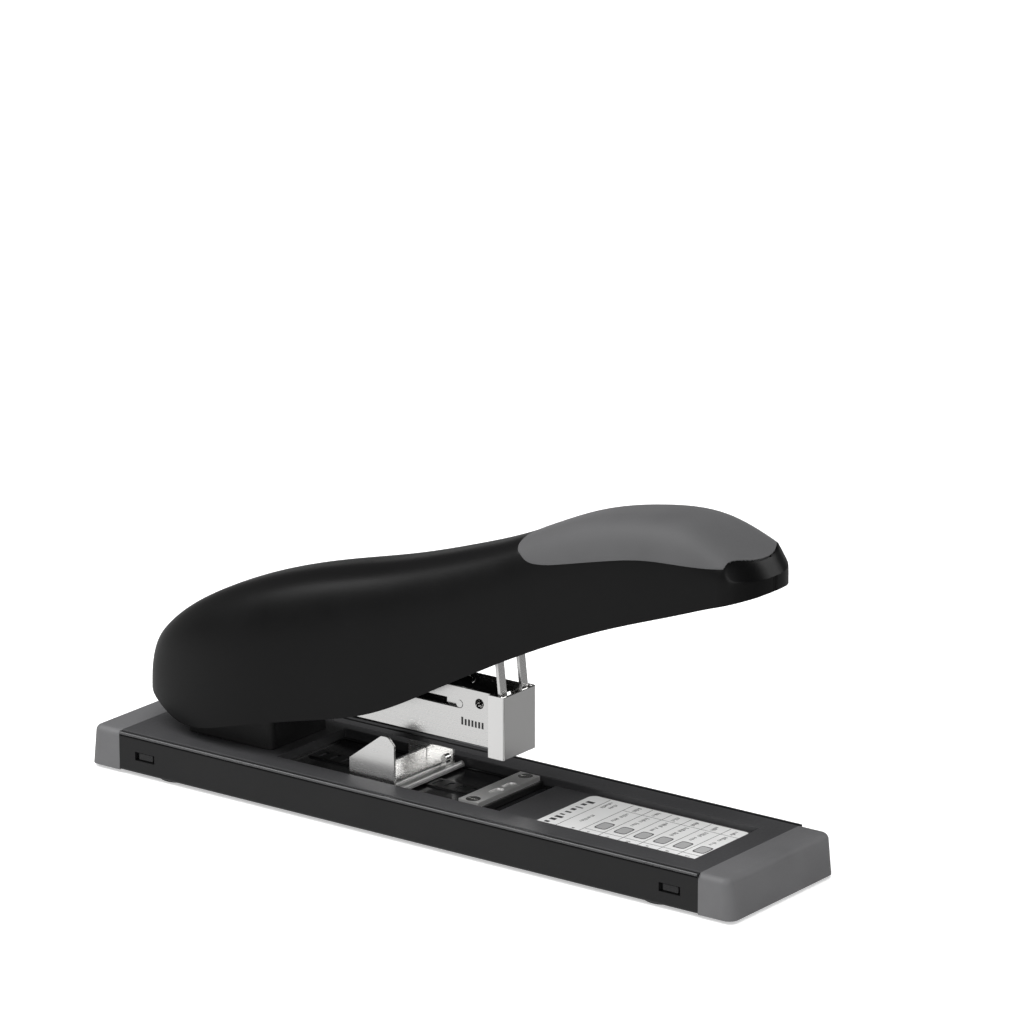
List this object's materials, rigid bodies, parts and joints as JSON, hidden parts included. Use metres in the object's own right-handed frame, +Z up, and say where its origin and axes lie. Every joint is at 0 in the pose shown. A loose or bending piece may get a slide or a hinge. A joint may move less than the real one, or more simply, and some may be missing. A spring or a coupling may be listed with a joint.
{
  "type": "heavy-duty desktop stapler",
  "caption": "Long-lever desktop stapler: handle and staple magazine hinged over a low base with anvil and sliding paper guide.",
  "frame": {"origin": "centre of the base's underside, at the bottom of the feet", "axes": "+X towards the front of the base and the handle's nose, +Y to the side, +Z up"},
  "size_m": [0.2776, 0.0614, 0.1269],
  "materials": {
    "black_painted_steel": "satin",
    "black_plastic": "satin",
    "deck_plastic": "satin",
    "grey_plastic": "matte",
    "soft_grip": "matte",
    "rubber_foot": "matte",
    "nickel_steel": "satin",
    "bright_steel": "polished",
    "dark_steel": "satin",
    "staple_wire": "satin",
    "label_paper": "matte"
  },
  "bodies": {
    "base": {"base_pan": "black_painted_steel", "deck_cover": "deck_plastic", "front_end_cap": "grey_plastic", "rear_end_cap": "grey_plastic", "foot_pads": "rubber_foot", "anvil_block": "black_plastic", "anvil_plate": "nickel_steel", "anvil_screws": "bright_steel", "instruction_label": "label_paper", "guide_rack": "dark_steel", "hinge_bracket": "dark_steel", "bracket_rivets": "dark_steel", "hinge_housing": "black_plastic", "pivot_pin": "bright_steel", "pin_clip": "dark_steel", "magazine_return_spring": "bright_steel"},
    "guide": {"guide_plate": "nickel_steel", "guide_fence": "nickel_steel", "guide_shoe": "bright_steel", "guide_clip": "dark_steel"},
    "magazine": {"magazine_channel": "nickel_steel", "magazine_front_cover": "bright_steel", "staple_rail": "dark_steel", "rail_pin": "bright_steel", "magazine_top_plate": "black_painted_steel", "spring_seat": "black_plastic", "pusher_rod": "bright_steel", "staple_row": "staple_wire", "pusher_spring": "bright_steel", "handle_return_spring": "bright_steel"},
    "pusher": {"staple_pusher": "bright_steel"},
    "driver": {"driver_blade": "nickel_steel"},
    "link": {"driver_link": "nickel_steel"},
    "handle": {"handle_shell": "black_plastic", "grip_pad": "soft_grip", "lever_frame": "dark_steel", "link_pin": "bright_steel", "handle_screws": "dark_steel"}
  },
  "joints": [
    {"name": "magazine_press", "type": "hinge", "parent": "base", "child": "magazine", "pos_m": [-0.095, 0, 0.042], "axis": [0, 1, 0], "range_deg": [0, 6.1], "stiffness_Nm_per_rad": 8, "springref_deg": -10.31, "deforming": ["magazine_return_spring"]},
    {"name": "handle_press", "type": "hinge", "parent": "magazine", "child": "handle", "pos_m": [-0.095, 0, 0.042], "axis": [0, 1, 0], "range_deg": [0, 6.9], "stiffness_Nm_per_rad": 6, "springref_deg": -10.31, "deforming": ["handle_return_spring"]},
    {"name": "driver_stroke", "type": "slide", "parent": "magazine", "child": "driver", "axis": [0, 0, -1], "range_m": [0, 0.01474]},
    {"name": "link_swing", "type": "hinge", "parent": "driver", "child": "link", "pos_m": [0.02635, 0, 0.0475], "axis": [0, 1, 0], "range_deg": [0, 6.45]},
    {"name": "guide_slide", "type": "slide", "parent": "base", "child": "guide", "axis": [1, 0, 0], "range_m": [-0.028, 0.018]},
    {"name": "pusher_travel", "type": "slide", "parent": "magazine", "child": "pusher", "axis": [1, 0, 0], "range_m": [-0.03, 0], "stiffness_N_per_m": 60, "springref_m": 0.02, "deforming": ["pusher_spring"]}
  ],
  "couplings": [
    {"joint": "driver_stroke", "follows": "handle_press", "m_per_rad": 0.12157},
    {"joint": "link_swing", "follows": "handle_press", "ratio": 0.92754}
  ]
}
